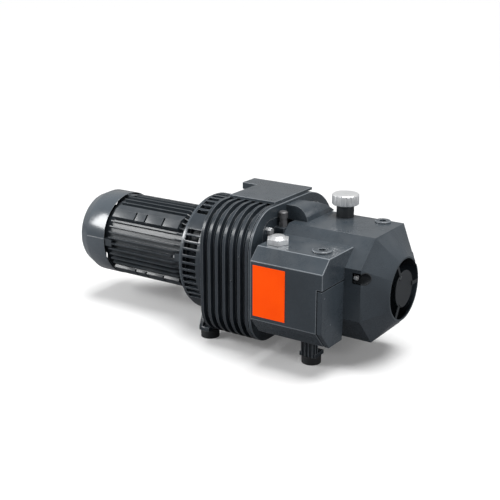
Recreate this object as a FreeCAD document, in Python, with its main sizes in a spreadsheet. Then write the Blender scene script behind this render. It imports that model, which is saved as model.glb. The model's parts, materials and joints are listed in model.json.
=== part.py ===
"""Rotary vane compressor with its flange motor, an assembly of separate solids.

Millimetres. +X runs along the shaft from the motor to the air inlet, -Y is the front with the filter
box, +Z is up. The origin is on the floor at the centre of the four rubber feet.
"""
import FreeCAD, Part
import os
import re
import Sketcher

Vector = FreeCAD.Vector

SIZES = {
    # feet and shaft height
    "axis_height": 181, "foot_span_x": 302, "foot_span_y": 280, "rubber_radius": 24,
    "rubber_height": 20, "foot_hole": 5.5, "bracket_plate": 10, "bracket_half": 20,
    # clearances and walls
    "seat_gap": 0.2, "run_gap": 0.05, "wall_thick": 5, "sheet_thick": 2,
    # motor
    "ring_left": -232, "shield_long": 34, "frame_long": 257, "frame_radius": 100,
    "frame_bore": 88, "fin_high": 12, "fin_thick": 3.2, "fin_count": 44, "fin_end": 8,
    "fin_bevel": 20, "pad_rise": 19, "pad_margin": 12, "pad_slot": 5, "ear_half": 9,
    "ear_long": 20, "tie_rise": 4, "tie_hole": 4.2, "head_space": 12,
    "rear_shield_long": 14, "cowl_radius": 115.5, "cowl_long": 95, "cowl_back_radius": 101,
    "cowl_bevel": 34, "cowl_overlap": 10, "motor_shaft_radius": 15, "bearing_outer": 36,
    "bearing_wide": 19, "boss_wall": 8, "stator_long": 160, "stator_bore": 56, "air_gap": 0.6,
    "winding_long": 22, "winding_outer": 83, "fan_radius": 92, "fan_wide": 28, "fan_blades": 7,
    "flange_radius": 152, "flange_thick": 8,
    "terminal_long": 110, "terminal_half": 50, "terminal_deep": 34, "terminal_lid": 6,
    "terminal_rise": 16, "terminal_place": -420, "gland_radius": 12, "gland_long": 22,
    # coupling housing
    "ring_long": 62, "ring_radius": 156, "ring_wall": 8, "web_thick": 10, "web_radius": 118,
    "slot_start": 5, "slot_long": 42, "slot_half": 6.2, "slot_step": 6.8, "slot_count": 11,
    "flange_bolt_radius": 141, "hub_radius": 42, "hub_long": 25, "spider_long": 10,
    "jaw_half": 9, "jaw_start": 21,
    # pump
    "cover_long": 27, "cylinder_long": 138, "cylinder_radius": 112, "bore_radius": 90,
    "bore_offset": 10, "rotor_radius": 79.9, "rotor_side_gap": 0.1, "pump_shaft_radius": 15,
    "pump_bearing_outer": 31, "pump_bearing_wide": 16, "vane_count": 6, "vane_thick": 6,
    "vane_high": 44, "vane_turn": 0, "slot_floor": 34.9, "vane_slot_gap": 0.1, "cooling_fins": 20,
    "cooling_fin_radius": 124, "window_radius": 22, "cover_plate": 12, "cover_boss": 26,
    "cover_boss_radius": 75, "spigot_radius": 60, "seal_long": 7,
    # ribbed hood
    "hood_half": 205, "hood_low": 23, "hood_high": 362, "hood_low_round": 82,
    "hood_high_round": 98, "hood_back_round": 150, "rib_deep": 14, "rib_thick": 8,
    "rib_pitch": 22, "rib_count": 7,
    "hood_long": 143, "end_plate_thick": 7, "opening_half": 152, "opening_low": 60,
    "opening_high": 333, "opening_round": 35, "opening_back_round": 70,
    "lid_left": -125, "lid_right": 9, "lid_front": -86, "lid_back": 95, "lid_thick": 7,
    "tab_left": -170, "tab_front": 38, "tab_deep": 11,
    # end housing
    "house_long": 236, "taper_long": 44.5, "house_top": 319, "house_top_half": 74,
    "house_front": 141.5, "house_shoulder": 258.3, "house_waist": 131, "house_low": 58,
    "house_low_front": 77, "house_back": 78, "rim_radius": 79.3, "house_wall": 4,
    "port_radius": 22.7, "port_boss": 34, "port_long": 20, "port_left": 110, "port_right": 210,
    "port_height": 180, "guard_radius": 46, "guard_thick": 3, "strut_half": 4,
    "pump_fan_radius": 68, "pump_fan_wide": 26, "pump_fan_blades": 8, "pump_fan_place": 232,
    # air duct between hood and housing
    "duct_right": 79, "duct_high": 355, "duct_front": -45, "duct_back": 88,
    # filter box
    "box_left": 42, "box_right": 236, "box_front": 244.6, "box_front_low": 123.7,
    "box_front_high": 268.2, "box_top": 297.7, "box_top_front": 213, "box_top_back": 97.8,
    "box_low": 78.8, "box_low_front": 206.7, "box_low_back": 145, "cap_left": 224,
    "cap_high": 226.5, "cap_gap": 3, "filter_radius": 36, "filter_cap": 4,
    "filter_back": 192, "filter_height": 168,
    "label_left": 49.4, "label_right": 137.5, "label_low": 133.3, "label_high": 259.3,
    "label_thick": 1,
    # fittings
    "valve_x": 128, "valve_y": 56, "valve_radius": 22, "valve_bore": 14.5, "valve_high": 31,
    "valve_floor": 3, "valve_hole": 8, "knob_radius": 34, "knob_high": 27, "knob_flutes": 18,
    "spindle_radius": 5, "plate_high": 23, "plate_thick": 3, "poppet_radius": 12,
    "poppet_thick": 4, "wire_radius": 1.1, "coil_radius": 9.5, "coil_pitch": 4,
    "plug_x": 232, "plug_y": 58, "plug_radius": 20, "plug_shank": 14, "plug_high": 5,
    "box_plug_x": 193, "box_fit_y": 172, "box_plug_radius": 24, "box_plug_shank": 16,
    "fitting_x": 73, "fitting_across": 50, "fitting_high": 13, "dome_radius": 20,
    "dome_high": 6, "fitting_shank": 12,
    "nipple_x": 30, "nipple_y": 80, "nipple_radius": 11.5, "nipple_high": 38,
    "nipple_ledge": 310, "ledge_thick": 14, "ledge_half": 18,
}

doc = FreeCAD.newDocument("rotary_vane_compressor")
sheet = doc.addObject("Spreadsheet::Sheet", "dims")
for row, (alias, size) in enumerate(SIZES.items(), 1):
    sheet.set(f"A{row}", alias)
    sheet.set(f"B{row}", str(size))
    sheet.setAlias(f"B{row}", alias)
doc.recompute()

parts = []


# expressions

def linked(text):
    """The expression with each sheet alias written as a reference to its cell."""
    return re.sub(r"[a-z]+(?:_[a-z]+)+", lambda found: "dims." + found.group(), str(text))


def size_of(text):
    return float(sheet.evalExpression(linked(text)))


def bind(thing, prop, text):
    thing.setExpression(prop, linked(text))


def place(thing, x="0", y="0", z="0"):
    for axis, text in zip("xyz", (x, y, z)):
        bind(thing, f"Placement.Base.{axis}", text)


# sketches and features

class Piece:
    """One sub-part made as a body of sketched features."""

    def __init__(self, label, x="0", y="0", z="0"):
        self.body = doc.addObject("PartDesign::Body", label)
        self.body.Label = label
        place(self.body, x, y, z)
        parts.append(self.body)

    def sketch(self, plane, offset="0"):
        sketch = self.body.newObject("Sketcher::SketchObject", "outline")
        support = [item for item in self.body.Origin.OriginFeatures if item.Role == plane][0]
        sketch.AttachmentSupport = (support, "")
        sketch.MapMode = "FlatFace"
        bind(sketch, "AttachmentOffset.Base.z", offset)
        return sketch

    def feature(self, kind, sketch, **sizes):
        item = self.body.newObject("PartDesign::" + kind, kind.lower())
        item.Profile = sketch
        for name, text in sizes.items():
            bind(item, name, text)
        return item

    def settle(self, shrinks):
        """Recomputes and checks that the newest feature adds or removes material."""
        before = getattr(self, "volume", 0)
        doc.recompute()
        self.volume = self.body.Shape.Volume
        if (self.volume < before) != shrinks:
            raise ValueError(f"{self.body.Label}: a feature goes the wrong way")

    def pad(self, sketch, length):
        item = self.feature("Pad", sketch, Length=length)
        self.settle(False)
        return item

    def cut(self, sketch, length):
        """A pocket that runs along the sketch's normal, as a pad would."""
        item = self.feature("Pocket", sketch)
        item.Reversed = True
        bind(item, "Length", length)
        self.settle(True)
        return item

    def turn(self, sketch, axis="H_Axis"):
        item = self.feature("Revolution", sketch)
        item.ReferenceAxis = (sketch, [axis])
        item.Angle = 360
        self.settle(False)
        return item

    def groove(self, sketch, axis="H_Axis"):
        item = self.feature("Groove", sketch)
        item.ReferenceAxis = (sketch, [axis])
        item.Angle = 360
        self.settle(True)
        return item

    def around(self, item, sketch, count, angle="360", axis="N_Axis"):
        pattern = self.body.newObject("PartDesign::PolarPattern", "pattern")
        pattern.Originals = [item]
        pattern.Axis = (sketch, [axis])
        bind(pattern, "Angle", angle)
        bind(pattern, "Occurrences", count)
        self.body.Tip = pattern
        self.settle(item.TypeId == "PartDesign::Pocket")
        return pattern

    def along(self, item, sketch, count, length):
        pattern = self.body.newObject("PartDesign::LinearPattern", "pattern")
        pattern.Originals = [item]
        pattern.Direction = (sketch, ["N_Axis"])
        bind(pattern, "Length", length)
        bind(pattern, "Occurrences", count)
        self.body.Tip = pattern
        self.settle(item.TypeId == "PartDesign::Pocket")
        return pattern


def fix(sketch, geometry, point, x, y):
    """Ties a point of the sketch to expressions for its two coordinates."""
    for kind, text in (("DistanceX", x), ("DistanceY", y)):
        rule = Sketcher.Constraint(kind, -1, 1, geometry, point, size_of(text))
        bind(sketch, f"Constraints[{sketch.addConstraint(rule)}]", text)


def polygon(sketch, points):
    first = sketch.GeometryCount
    spots = [Vector(size_of(x), size_of(y), 0) for x, y in points]
    count = len(points)
    for i in range(count):
        sketch.addGeometry(Part.LineSegment(spots[i], spots[(i + 1) % count]), False)
    for i in range(count):
        after = first + (i + 1) % count
        sketch.addConstraint(Sketcher.Constraint("Coincident", first + i, 2, after, 1))
    for i, (x, y) in enumerate(points):
        fix(sketch, first + i, 1, x, y)
    return sketch


def circle(sketch, radius, x="0", y="0"):
    centre = Vector(size_of(x), size_of(y), 0)
    item = sketch.addGeometry(Part.Circle(centre, Vector(0, 0, 1), size_of(radius)), False)
    rule = sketch.addConstraint(Sketcher.Constraint("Radius", item, size_of(radius)))
    bind(sketch, f"Constraints[{rule}]", radius)
    fix(sketch, item, 3, x, y)
    return sketch


def rectangle(sketch, left, right, low, high):
    return polygon(sketch, [(left, low), (right, low), (right, high), (left, high)])


def rounded(sketch, half, low, high, low_round, high_round, back_round=None):
    """A box outline symmetric about the vertical axis with rounded corners."""
    first = sketch.GeometryCount
    h, a, b = size_of(half), size_of(low), size_of(high)
    r, q, k = size_of(low_round), size_of(high_round), size_of(back_round or high_round)
    lines = [((-h + r, a), (h - r, a)), ((h, a + r), (h, b - k)),
             ((h - k, b), (-h + q, b)), ((-h, b - q), (-h, a + r))]
    arcs = [((h - r, a + r), r, 270), ((h - k, b - k), k, 0),
            ((-h + q, b - q), q, 90), ((-h + r, a + r), r, 180)]
    for (x0, y0), (x1, y1) in lines:
        sketch.addGeometry(Part.LineSegment(Vector(x0, y0, 0), Vector(x1, y1, 0)), False)
    for (x, y), radius, start in arcs:
        round_part = Part.Circle(Vector(x, y, 0), Vector(0, 0, 1), radius)
        start_angle = FreeCAD.Units.Quantity(f"{start} deg").getValueAs("rad").Value
        quarter = FreeCAD.Units.Quantity("90 deg").getValueAs("rad").Value
        sketch.addGeometry(Part.ArcOfCircle(round_part, start_angle, start_angle + quarter), False)
    for i in range(4):
        line, arc, after = first + i, first + 4 + i, first + (i + 1) % 4
        sketch.addConstraint(Sketcher.Constraint("Tangent", line, 2, arc, 1))
        sketch.addConstraint(Sketcher.Constraint("Tangent", arc, 2, after, 1))
        sketch.addConstraint(Sketcher.Constraint("Horizontal" if i % 2 == 0 else "Vertical", line))
    for i, radius in enumerate((low_round, back_round or high_round, high_round, low_round)):
        rule = sketch.addConstraint(Sketcher.Constraint("Radius", first + 4 + i, size_of(radius)))
        bind(sketch, f"Constraints[{rule}]", radius)
    sides = (("DistanceY", low), ("DistanceX", half), ("DistanceY", high), ("DistanceX", f"-({half})"))
    for i, (kind, text) in enumerate(sides):
        rule = Sketcher.Constraint(kind, -1, 1, first + i, 1, size_of(text))
        bind(sketch, f"Constraints[{sketch.addConstraint(rule)}]", text)
    return sketch


def radial(near, far, half, angle):
    """Corners of a rectangle that points outwards at an angle from the sketch's origin."""
    corners = ((near, f"-({half})"), (far, f"-({half})"), (far, half), (near, half))
    return [(f"({r})*cos({angle}) - ({w})*sin({angle})", f"({r})*sin({angle}) + ({w})*cos({angle})")
            for r, w in corners]


def lathe(label, points):
    """A piece turned about the shaft axis from (x, radius) points."""
    piece = Piece(label, z="axis_height")
    piece.turn(polygon(piece.sketch("XY_Plane"), points))
    return piece


def post(label, x, y, z, points):
    """A piece turned about a vertical axis from (radius, height) points."""
    piece = Piece(label, x, y, z)
    piece.turn(polygon(piece.sketch("XZ_Plane"), points), "V_Axis")
    return piece


def tube(label, left, right, inner, outer):
    return lathe(label, [(left, inner), (right, inner), (right, outer), (left, outer)])


def hexagon(sketch, across):
    points = [(f"({across})/2/cos(30)*cos({a})", f"({across})/2/cos(30)*sin({a})")
              for a in range(0, 360, 60)]
    return polygon(sketch, points)


def group(label, pieces):
    """Like pieces that share one node, each a solid of its own."""
    joined = doc.addObject("Part::Compound", label)
    joined.Label = label
    joined.Links = [piece.body for piece in pieces]
    for piece in pieces:
        parts.remove(piece.body)
    parts.append(joined)
    return joined


# screws

TURNS = {"+X": (Vector(0, 1, 0), 90), "-X": (Vector(0, 1, 0), -90),
         "+Y": (Vector(1, 0, 0), -90), "+Z": (Vector(0, 0, 1), 0)}


def screws(label, seats, way, shank, length, across, high):
    """Hexagon screws as one group; each seat is the point under the middle of a head."""
    solids = []
    axis = "XYZ".index(way[1])
    back = "-" if way[0] == "+" else "+"
    for seat in seats:
        foot = list(seat)
        foot[axis] = f"{seat[axis]} {back} {length}"
        head = doc.addObject("Part::Prism", "head")
        head.Polygon = 6
        bind(head, "Circumradius", f"{across}/2/cos(30)")
        bind(head, "Height", high)
        stem = doc.addObject("Part::Cylinder", "stem")
        bind(stem, "Radius", shank)
        bind(stem, "Height", length)
        for item, spot in ((head, seat), (stem, foot)):
            item.Placement.Rotation = FreeCAD.Rotation(*TURNS[way])
            place(item, *spot)
            solids.append(item)
    group = doc.addObject("Part::MultiFuse", label)
    group.Label = label
    group.Shapes = solids
    parts.append(group)
    return group


# places along the shaft

FRAME_RIGHT = "(ring_left - shield_long)"
FRAME_LEFT = f"({FRAME_RIGHT} - frame_long)"
SHIELD_LEFT = f"({FRAME_LEFT} - rear_shield_long)"
COWL_RIGHT = f"({SHIELD_LEFT} + cowl_overlap)"
COWL_LEFT = f"({COWL_RIGHT} - cowl_long)"
RING_RIGHT = "(ring_left + ring_long)"
WEB_RIGHT = f"({RING_RIGHT} + web_thick)"
PUMP_LEFT = f"({WEB_RIGHT} + cover_long)"
PUMP_RIGHT = f"({PUMP_LEFT} + cylinder_long)"
PLATE_RIGHT = f"({PUMP_RIGHT} + cover_plate)"
HOUSE_LEFT = f"({PLATE_RIGHT} + cover_boss)"
HOUSE_RIGHT = f"({HOUSE_LEFT} + house_long)"
RIM = f"({HOUSE_RIGHT} + taper_long)"
HOOD_RIGHT = f"({PUMP_LEFT} + hood_long)"
STATOR_RIGHT = f"({FRAME_RIGHT} - (frame_long - stator_long)/2)"
STATOR_LEFT = f"({STATOR_RIGHT} - stator_long)"
QUARTERS = (0, 90, 180, 270)
DIAGONALS = (45, 135, 225, 315)


# radii round the motor frame

FIN_TIP = "(frame_radius + fin_high)"
PAD_TOP = "(frame_radius + pad_rise)"
TIE_RING = "(frame_radius + tie_rise)"
TERMINAL_SEAT = "(frame_radius + terminal_rise)"


# motor

def motor_cowl():
    piece = lathe("motor_fan_cowl", [
        (f"{COWL_LEFT} + cowl_bevel", "cowl_radius"), (COWL_LEFT, "cowl_back_radius"),
        (COWL_LEFT, "motor_shaft_radius"), (f"{COWL_LEFT} + sheet_thick", "motor_shaft_radius"),
        (f"{COWL_LEFT} + sheet_thick", "cowl_back_radius - sheet_thick/2"),
        (f"{COWL_LEFT} + cowl_bevel", "cowl_radius - sheet_thick"),
        (COWL_RIGHT, "cowl_radius - sheet_thick"), (COWL_RIGHT, "cowl_radius")])
    for near, far, half, count in ((26, 56, 2.2, 20), (62, "cowl_back_radius - 9", 2.6, 36)):
        sketch = piece.sketch("YZ_Plane", f"{COWL_LEFT} - 1")
        slot = piece.cut(polygon(sketch, radial(near, far, half, 0)), "sheet_thick + 2")
        piece.around(slot, sketch, count)


def motor_rear_shield():
    boss = "bearing_outer + seat_gap"
    piece = lathe("motor_rear_shield", [
        (SHIELD_LEFT, "frame_radius"), (FRAME_LEFT, "frame_radius"),
        (FRAME_LEFT, boss), (f"{FRAME_LEFT} - bearing_wide", boss),
        (f"{FRAME_LEFT} - bearing_wide", "motor_shaft_radius + 3"),
        (f"{FRAME_LEFT} - bearing_wide - 3", "motor_shaft_radius + 3"),
        (f"{FRAME_LEFT} - bearing_wide - 3", "bearing_outer + boss_wall"),
        (SHIELD_LEFT, "bearing_outer + boss_wall")])
    sketch = piece.sketch("YZ_Plane", SHIELD_LEFT)
    lug = piece.pad(rectangle(sketch, "frame_radius - 5", "cowl_radius - sheet_thick - 0.7",
                              "-ear_half", "ear_half"), "rear_shield_long")
    piece.around(lug, sketch, 4)
    sketch = piece.sketch("YZ_Plane", f"{SHIELD_LEFT} - 1")
    hole = piece.cut(circle(sketch, "tie_hole", TIE_RING), "rear_shield_long + 2")
    piece.around(hole, sketch, 4)


def motor_frame():
    piece = tube("motor_frame", FRAME_LEFT, FRAME_RIGHT, "frame_bore", "frame_radius")
    sketch = piece.sketch("YZ_Plane", f"{FRAME_LEFT} + fin_end")
    rectangle(sketch, "frame_radius - 2", FIN_TIP, "-fin_thick/2", "fin_thick/2")
    fin = piece.pad(sketch, "frame_long - 2*fin_end")
    piece.around(fin, sketch, "fin_count")
    far = f"{FIN_TIP} + 3"
    piece.groove(polygon(piece.sketch("XY_Plane"), [
        (f"{FRAME_RIGHT} - fin_end - fin_bevel", far), (f"{FRAME_RIGHT} - fin_end + 1", "frame_radius + 1"),
        (f"{FRAME_RIGHT} - fin_end + 1", far)]))
    pads = piece.sketch("YZ_Plane", f"{FRAME_LEFT} + pad_margin")
    for side in (1, -1):
        for up in (1, -1):
            outline = [(f"-0.782*{PAD_TOP}", f"0.613*{PAD_TOP}"), (f"-0.643*{PAD_TOP}", f"0.765*{PAD_TOP}"),
                       (f"-0.47*{PAD_TOP}", f"0.815*{PAD_TOP}"), ("-0.40*frame_radius", "0.85*frame_radius"),
                       ("-0.77*frame_radius", "0.54*frame_radius")]
            polygon(pads, [(f"{side}*({y})", f"{up}*({z})") for y, z in outline])
    piece.pad(pads, "frame_long - 2*pad_margin - fin_bevel/2")
    for share in (0.33, 0.47, 0.70):
        slots = piece.sketch("YZ_Plane", f"{FRAME_LEFT} + {share}*frame_long")
        for angle in DIAGONALS:
            tilt = 5 if angle in (135, 315) else -5
            polygon(slots, radial(f"{PAD_TOP} - 7", f"{PAD_TOP} + 9", 19, angle + tilt))
        piece.cut(slots, "pad_slot")
    for start in (FRAME_LEFT, f"{FRAME_RIGHT} - ear_long"):
        sketch = piece.sketch("YZ_Plane", start)
        ear = piece.pad(rectangle(sketch, "frame_radius - 3", FIN_TIP, "-ear_half", "ear_half"),
                        "ear_long")
        piece.around(ear, sketch, 4)
    sketch = piece.sketch("YZ_Plane", f"{FRAME_RIGHT} - ear_long - head_space")
    rectangle(sketch, f"{TIE_RING} - 5.6", f"{FIN_TIP} + 4", "-ear_half", "ear_half")
    space = piece.cut(sketch, "head_space")
    piece.around(space, sketch, 4)
    sketch = piece.sketch("YZ_Plane", f"{FRAME_LEFT} - 1")
    hole = piece.cut(circle(sketch, "tie_hole", TIE_RING), "ear_long + 1")
    piece.around(hole, sketch, 4)
    sketch = piece.sketch("YZ_Plane", f"{FRAME_RIGHT} - ear_long - 1")
    hole = piece.cut(circle(sketch, "tie_hole", TIE_RING), "ear_long + 2")
    piece.around(hole, sketch, 4)
    sketch = piece.sketch("YZ_Plane", "terminal_place - terminal_long/2")
    piece.pad(rectangle(sketch, "frame_radius - 8", TERMINAL_SEAT, "-terminal_half", "terminal_half"),
              "terminal_long")


def tie_points(x):
    return [(x, f"{TIE_RING}*cos({a})", f"axis_height + {TIE_RING}*sin({a})") for a in QUARTERS]


def motor_front_shield():
    left, right = FRAME_RIGHT, "ring_left"
    bore, end = "bearing_outer + seat_gap", f"{FRAME_RIGHT} + bearing_wide"
    piece = lathe("motor_front_shield", [
        (left, "frame_radius + 8"), (f"{left} + 4", "frame_radius + 9"),
        (f"{right} - flange_thick", "flange_radius - 4"), (f"{right} - flange_thick", "flange_radius"),
        (right, "flange_radius"), (right, "flange_radius - 17"),
        (f"{right} - 14", "flange_radius - 23"), (f"{left} + 12", "frame_radius - 3"),
        (f"{left} + 12", "bearing_outer + boss_wall"), (f"{end} + 3", "bearing_outer + boss_wall"),
        (f"{end} + 3", "motor_shaft_radius + 3"), (end, "motor_shaft_radius + 3"),
        (end, bore), (left, bore)])
    sketch = piece.sketch("YZ_Plane", f"{left} - 1")
    hole = piece.cut(circle(sketch, "tie_hole", TIE_RING), 12)
    piece.around(hole, sketch, 4)
    sketch = piece.sketch("YZ_Plane", f"{right} - flange_thick")
    spot = [f"flange_bolt_radius*{turn}(45)" for turn in ("cos", "sin")]
    hole = piece.cut(circle(sketch, "tie_hole", *spot), "flange_thick + 1")
    piece.around(hole, sketch, 4)


def ball_bearing(label, left, wide, outer, inner):
    """A closed bearing: both rings and the shields as one ring."""
    return tube(label, left, f"{left} + {wide}", inner, outer)


def motor_inside():
    tube("stator_core", STATOR_LEFT, STATOR_RIGHT, "stator_bore", "frame_bore - seat_gap")
    coils = []
    for label, x in (("winding_rear", f"{STATOR_LEFT} - winding_long"), ("winding_front", STATOR_RIGHT)):
        end = f"{x} + winding_long"
        coil = lathe(label, [(x, "stator_bore + 8"), (f"{x} + 5", "stator_bore + 3"),
                      (f"{end} - 5", "stator_bore + 3"), (end, "stator_bore + 8"),
                      (end, "winding_outer - 5"), (f"{end} - 5", "winding_outer"),
                      (f"{x} + 5", "winding_outer"), (x, "winding_outer - 5")])
        coils.append(coil)
    group("stator_windings", coils)
    group("motor_bearings", [
        ball_bearing(f"motor_bearing_{name}", left, "bearing_wide", "bearing_outer",
                     "motor_shaft_radius + run_gap")
        for name, left in (("rear", f"({FRAME_LEFT} - bearing_wide)"), ("front", FRAME_RIGHT))])
    tube("motor_rotor", STATOR_LEFT, STATOR_RIGHT, "motor_shaft_radius + run_gap",
         "stator_bore - air_gap")
    tube_end = f"{COWL_LEFT} + 20"
    shaft = lathe("motor_shaft", [
        (tube_end, 0), ("ring_left + hub_long - 9", 0),
        ("ring_left + hub_long - 9", "motor_shaft_radius"), (tube_end, "motor_shaft_radius")])
    fan = lathe("motor_fan", [
        (f"{tube_end} + 1", "motor_shaft_radius + run_gap"),
        (f"{tube_end} + 1 + fan_wide", "motor_shaft_radius + run_gap"),
        (f"{tube_end} + 1 + fan_wide", "motor_shaft_radius + 9"),
        (f"{tube_end} + 5", "motor_shaft_radius + 9"),
        (f"{tube_end} + 5", "fan_radius - 22"), (f"{tube_end} + 1", "fan_radius - 22")])
    sketch = fan.sketch("YZ_Plane", f"{tube_end} + 1")
    blade = fan.pad(rectangle(sketch, "motor_shaft_radius + 6", "fan_radius", -1.5, 1.5), "fan_wide")
    fan.around(blade, sketch, "fan_blades")
    return shaft


def terminal_box():
    place_x = "terminal_place"
    low, high = "axis_height - terminal_half", "axis_height + terminal_half"
    front = f"{TERMINAL_SEAT} + terminal_deep"
    left, right = f"{place_x} - terminal_long/2", f"{place_x} + terminal_long/2"
    box = Piece("terminal_box")
    box.pad(rectangle(box.sketch("XZ_Plane", f"-({front})"), left, right, low, high), "terminal_deep")
    box.cut(rectangle(box.sketch("XZ_Plane", f"-({front}) - 1"), f"{left} + wall_thick + 6",
                      f"{right} - wall_thick - 6", f"{low} + wall_thick", f"{high} - wall_thick"),
            "terminal_deep - 4")
    sketch = box.sketch("XZ_Plane", f"-({front}) - 1")
    corners = [(f"{place_x} + {i}*(terminal_long/2 - 6)", f"axis_height + {k}*(terminal_half - 7)")
               for i in (-1, 1) for k in (-1, 1)]
    for x, z in corners:
        circle(sketch, 2.7, x, z)
    box.cut(sketch, 16)
    lid = Piece("terminal_lid")
    sketch = lid.sketch("XZ_Plane", f"-({front} + terminal_lid)")
    rectangle(sketch, left, right, low, high)
    for x, z in corners:
        circle(sketch, 2.7, x, z)
    lid.pad(sketch, "terminal_lid")
    screws("terminal_screws", [(x, f"{front} + terminal_lid", z) for x, z in corners],
           "+Y", 2.5, "(terminal_lid + 12)", 8, 3.5)
    post("cable_gland", place_x, f"{TERMINAL_SEAT} + terminal_deep/2", f"{low} - gland_long", [
        (4, 0), ("gland_radius - 2", 0), ("gland_radius", 3), ("gland_radius", "gland_long - 8"),
        ("gland_radius + 2", "gland_long - 8"), ("gland_radius + 2", "gland_long"), (4, "gland_long")])


# coupling housing

def coupling_housing():
    inner = "ring_radius - ring_wall"
    piece = lathe("coupling_housing", [
        ("ring_left", "ring_radius"), (RING_RIGHT, "ring_radius"), (RING_RIGHT, "web_radius"),
        (WEB_RIGHT, "web_radius"), (WEB_RIGHT, "pump_bearing_outer + 4"),
        (f"{RING_RIGHT} - ring_wall", "pump_bearing_outer + 4"), (f"{RING_RIGHT} - ring_wall", inner),
        ("ring_left + ring_wall", inner), ("ring_left + ring_wall", "flange_bolt_radius - 10"),
        ("ring_left", "flange_bolt_radius - 10")])
    for middle in QUARTERS:
        sketch = piece.sketch("YZ_Plane", "ring_left + slot_start")
        start = f"({middle} - slot_step*(slot_count - 1)/2)"
        slot = piece.cut(polygon(sketch, radial("ring_radius - ring_wall - 5", "ring_radius + 5",
                                                "slot_half", start)), "slot_long")
        piece.around(slot, sketch, "slot_count", "slot_step*(slot_count - 1)")
    sketch = piece.sketch("YZ_Plane", "ring_left - 1")
    spot = [f"flange_bolt_radius*{turn}(45)" for turn in ("cos", "sin")]
    hole = piece.cut(circle(sketch, "tie_hole", *spot), "ring_wall + 2")
    piece.around(hole, sketch, 4)


def coupling():
    """Two jaw hubs with an elastic star between them."""
    motor_end = "ring_left + hub_long - 8"
    for label, left, first, way in (
            ("coupling_hub_motor", f"{motor_end} - hub_long", 0, 1),
            ("coupling_hub_pump", f"{motor_end} + spider_long", 60, -1)):
        shaft = "motor_shaft_radius" if way == 1 else "pump_shaft_radius"
        hub = tube(label, left, f"{left} + hub_long", f"{shaft} + run_gap", "hub_radius")
        sketch = hub.sketch("YZ_Plane", f"{left} + hub_long" if way == 1 else f"{left} - spider_long + 1")
        jaw = hub.pad(polygon(sketch, radial("jaw_start", "hub_radius - 2", "jaw_half", first)),
                      "spider_long - 1")
        hub.around(jaw, sketch, 3)
    star = tube("coupling_star", motor_end, f"{motor_end} + spider_long",
                "pump_shaft_radius + 1.5", "hub_radius - 1")
    sketch = star.sketch("YZ_Plane", f"{motor_end} - 1")
    slot = star.cut(polygon(sketch, radial("jaw_start - 0.5", "hub_radius + 4", "jaw_half + 0.2", 0)),
                    "spider_long + 2")
    star.around(slot, sketch, 6)


# pump

def pump_covers():
    seat = "pump_bearing_outer + seat_gap"
    clear = "pump_shaft_radius + 1"
    floor_a = f"({PUMP_LEFT} - 9)"
    lathe("pump_cover_motor_side", [
        (WEB_RIGHT, "web_radius"), (PUMP_LEFT, "web_radius"), (PUMP_LEFT, clear),
        (floor_a, clear), (floor_a, seat), (WEB_RIGHT, seat)])
    cover = Piece("pump_cover_inlet_side", z="axis_height")
    cover.pad(rounded(cover.sketch("YZ_Plane", PUMP_RIGHT), "opening_half - 0.6",
                      "opening_low - axis_height + 0.6", "opening_high - axis_height - 0.6",
                      "opening_round", "opening_round", "opening_back_round"), "cover_plate")
    cover.pad(circle(cover.sketch("YZ_Plane", PLATE_RIGHT), "cover_boss_radius"), "cover_boss")
    cover.pad(circle(cover.sketch("YZ_Plane", HOUSE_LEFT), "spigot_radius"), "wall_thick")
    ledge = cover.sketch("YZ_Plane", PLATE_RIGHT)
    top = "nipple_ledge - axis_height"
    cover.pad(rectangle(ledge, "-nipple_y - ledge_half", "-nipple_y + ledge_half",
                        f"{top} - ledge_thick", top), "cover_boss - 0.5")
    floor_b = f"({PUMP_RIGHT} + 10)"
    cover.cut(circle(cover.sketch("YZ_Plane", floor_b), seat), "cover_plate + cover_boss + wall_thick")
    cover.cut(circle(cover.sketch("YZ_Plane", f"{PUMP_RIGHT} - 1"), clear), 20)
    holes = cover.sketch("YZ_Plane", f"{PUMP_RIGHT} - 1")
    corners = [(f"{i}*(opening_half - 28)", f"{k}") for i in (-1, 1)
               for k in ("(opening_high - axis_height - 28)", "(opening_low - axis_height + 28)")]
    for y, z in corners:
        circle(holes, 6.2, y, z)
    cover.cut(holes, "cover_plate + 2")
    screws("pump_cover_bolts", [(PLATE_RIGHT, y, f"axis_height + {z}") for y, z in corners],
           "+X", 6, "(cover_plate - 1)", 18, 8)
    group("pump_bearings", [
        ball_bearing(f"pump_bearing_{name}", left, "pump_bearing_wide", "pump_bearing_outer",
                     "pump_shaft_radius + run_gap")
        for name, left in (("motor_side", f"({floor_a} - pump_bearing_wide)"), ("inlet_side", floor_b))])
    seal_left = f"({floor_b} + pump_bearing_wide + 1)"
    tube("shaft_seal", seal_left, f"{seal_left} + seal_long", "pump_shaft_radius + run_gap",
         "pump_bearing_outer")


def pump_cylinder():
    piece = Piece("pump_cylinder", z="axis_height")
    outline = piece.sketch("YZ_Plane", PUMP_LEFT)
    circle(outline, "cylinder_radius")
    circle(outline, "bore_radius", "0", "-bore_offset")
    piece.pad(outline, "cylinder_long")
    sketch = piece.sketch("YZ_Plane", PUMP_LEFT)
    fin = piece.pad(polygon(sketch, radial("cylinder_radius - 3", "cooling_fin_radius", 3, 0)),
                    "cylinder_long")
    piece.around(fin, sketch, "cooling_fins")
    middle = f"{PUMP_LEFT} + cylinder_long/2"
    for side in ("-cooling_fin_radius - 1", "bore_radius - 30"):
        window = piece.sketch("XZ_Plane", f"-({side}) - (cooling_fin_radius - bore_radius + 31)")
        piece.cut(circle(window, "window_radius", middle, "0"), "cooling_fin_radius - bore_radius + 31")


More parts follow.
